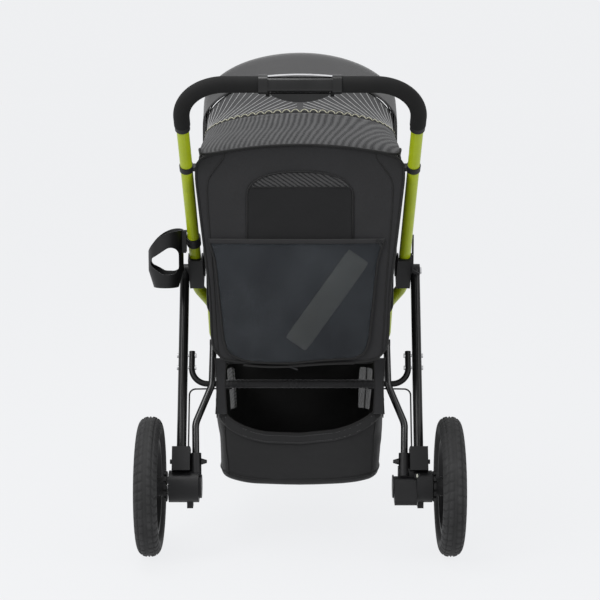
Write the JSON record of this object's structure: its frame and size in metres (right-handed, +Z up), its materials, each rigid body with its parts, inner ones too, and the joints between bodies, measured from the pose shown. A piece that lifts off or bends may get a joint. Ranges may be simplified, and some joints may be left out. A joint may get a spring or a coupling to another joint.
{
  "type": "pet stroller",
  "caption": "Folding pet stroller with a tube frame, fabric cabin with mesh window and canopy, storage basket, cup holder and foam handle on air-style wheels.",
  "frame": {"origin": "on the ground, in the middle of the stroller's footprint box", "axes": "+Z up, -Y towards the front wheel, +X the stroller's left side"},
  "size_m": [0.702, 1.0022, 1.0799],
  "materials": {
    "lime_tube": "semi-gloss lime green powder coat",
    "black_frame": "satin black powder coat",
    "black_plastic": "fine moulded texture",
    "gloss_black": "glossy",
    "charcoal_fabric": "tight plain weave, matt",
    "mesh_fabric": "open knitted mesh, dark",
    "rain_cover": "pale grey sheeting seen through mesh",
    "foam": "soft foam, fine grain",
    "tyre": "ribbed tread",
    "steel": "zinc-bright",
    "silver_trim": "bright",
    "board": "fabric-wrapped board",
    "gloss_black_frame": "gloss black powder coat",
    "cable": "black cable sheath"
  },
  "bodies": {
    "chassis": {"lower_tube_left": "lime_tube", "lower_tube_right": "lime_tube", "joint_housing_left": "black_plastic", "joint_housing_right": "black_plastic", "pivot_pins": "steel", "steering_head": "black_plastic", "seat_frame": "black_frame", "seat_rails": "black_frame", "hanger_wires": "black_frame", "floor_board": "board", "seat_cushion": "charcoal_fabric", "cabin_rear_panel": "charcoal_fabric", "cabin_side_left": "charcoal_fabric", "cabin_side_right": "charcoal_fabric", "cabin_front_panel": "charcoal_fabric", "rear_pocket": "mesh_fabric", "rain_cover": "rain_cover", "canopy_rear": "mesh_fabric", "canopy_middle": "mesh_fabric", "canopy_bows": "black_frame", "basket": "charcoal_fabric"},
    "canopy_visor": {"visor": "charcoal_fabric", "visor_bows": "black_frame"},
    "handle_frame": {"handle_tube": "lime_tube", "foam_grip_left": "foam", "foam_grip_right": "foam", "grip_collars": "black_plastic", "centre_grip": "gloss_black", "handle_trim": "silver_trim", "snap_connectors": "black_plastic", "cup_bracket": "black_plastic"},
    "trigger": {"fold_trigger": "gloss_black"},
    "cup": {"cup_holder": "black_plastic"},
    "rear_frame": {"rear_leg_left": "black_frame", "rear_leg_right": "black_frame", "leg_caps": "black_plastic", "hub_housing_left": "black_plastic", "hub_housing_right": "black_plastic", "rear_crossbar": "black_frame", "crossbar_bolts": "steel", "crossbar_sleeve": "charcoal_fabric", "inner_struts": "gloss_black_frame", "brake_cables": "cable"},
    "pedal": {"brake_pedal": "black_plastic"},
    "release_left": {"wheel_release_left": "black_plastic"},
    "release_right": {"wheel_release_right": "black_plastic"},
    "catch": {"safety_catch": "black_plastic"},
    "rear_wheel_left": {"rear_tyre_left": "tyre", "rear_rim_left": "black_plastic", "brake_disc_left": "black_plastic", "rear_axle_left": "steel"},
    "rear_wheel_right": {"rear_tyre_right": "tyre", "rear_rim_right": "black_plastic", "brake_disc_right": "black_plastic", "rear_axle_right": "steel"},
    "front_fork": {"fork": "black_frame", "front_axle": "steel"},
    "front_wheel": {"front_tyre": "tyre", "front_rim": "black_plastic"},
    "lock_knob": {"swivel_lock": "silver_trim"}
  },
  "joints": [
    {"name": "handle_fold", "type": "hinge", "parent": "chassis", "child": "handle_frame", "pos_m": [0, 0.095, 0.6], "axis": [1, 0, 0], "range_deg": [0, 125]},
    {"name": "rear_fold", "type": "hinge", "parent": "chassis", "child": "rear_frame", "pos_m": [0, 0.095, 0.6], "axis": [-1, 0, 0], "range_deg": [0, 50]},
    {"name": "canopy_fold", "type": "hinge", "parent": "chassis", "child": "canopy_visor", "pos_m": [0, 0.13, 0.8], "axis": [-1, 0, 0], "range_deg": [0, 38]},
    {"name": "fold_trigger_squeeze", "type": "hinge", "parent": "handle_frame", "child": "trigger", "pos_m": [0, 0.46593, 1.00338], "axis": [1, 0, 0], "range_deg": [0, 15], "stiffness_Nm_per_rad": 0.6, "springref_deg": -11.46},
    {"name": "cup_holder_lift", "type": "slide", "parent": "handle_frame", "child": "cup", "axis": [0, 0, 1], "range_m": [0, 0.045]},
    {"name": "brake_pedal_press", "type": "hinge", "parent": "rear_frame", "child": "pedal", "pos_m": [0, 0.275, 0.1515], "axis": [-1, 0, 0], "range_deg": [0, 20]},
    {"name": "wheel_release_left_push", "type": "slide", "parent": "rear_frame", "child": "release_left", "axis": [0, 0, 1], "range_m": [0, 0.004], "stiffness_N_per_m": 400, "springref_m": -0.001},
    {"name": "wheel_release_right_push", "type": "slide", "parent": "rear_frame", "child": "release_right", "axis": [0, 0, 1], "range_m": [0, 0.004], "stiffness_N_per_m": 400, "springref_m": -0.001},
    {"name": "safety_catch_pull", "type": "hinge", "parent": "chassis", "child": "catch", "pos_m": [-0.2496, 0.125, 0.64], "axis": [0, 1, 0], "range_deg": [0, 12], "stiffness_Nm_per_rad": 0.3, "springref_deg": -11.46},
    {"name": "rear_wheel_left_spin", "type": "hinge", "parent": "rear_frame", "child": "rear_wheel_left", "pos_m": [0.325, 0.275, 0.1515], "axis": [1, 0, 0], "continuous": true},
    {"name": "rear_wheel_right_spin", "type": "hinge", "parent": "rear_frame", "child": "rear_wheel_right", "pos_m": [-0.325, 0.275, 0.1515], "axis": [1, 0, 0], "continuous": true},
    {"name": "fork_swivel", "type": "hinge", "parent": "chassis", "child": "front_fork", "pos_m": [0, -0.413, 0.3], "axis": [0, 0, 1], "continuous": true},
    {"name": "front_wheel_spin", "type": "hinge", "parent": "front_fork", "child": "front_wheel", "pos_m": [0, -0.374, 0.127], "axis": [1, 0, 0], "continuous": true},
    {"name": "swivel_lock_slide", "type": "slide", "parent": "chassis", "child": "lock_knob", "axis": [0, 0, 1], "range_m": [0, 0.012]}
  ],
  "couplings": [
    {"joint": "rear_fold", "follows": "handle_fold", "ratio": 0.4}
  ]
}
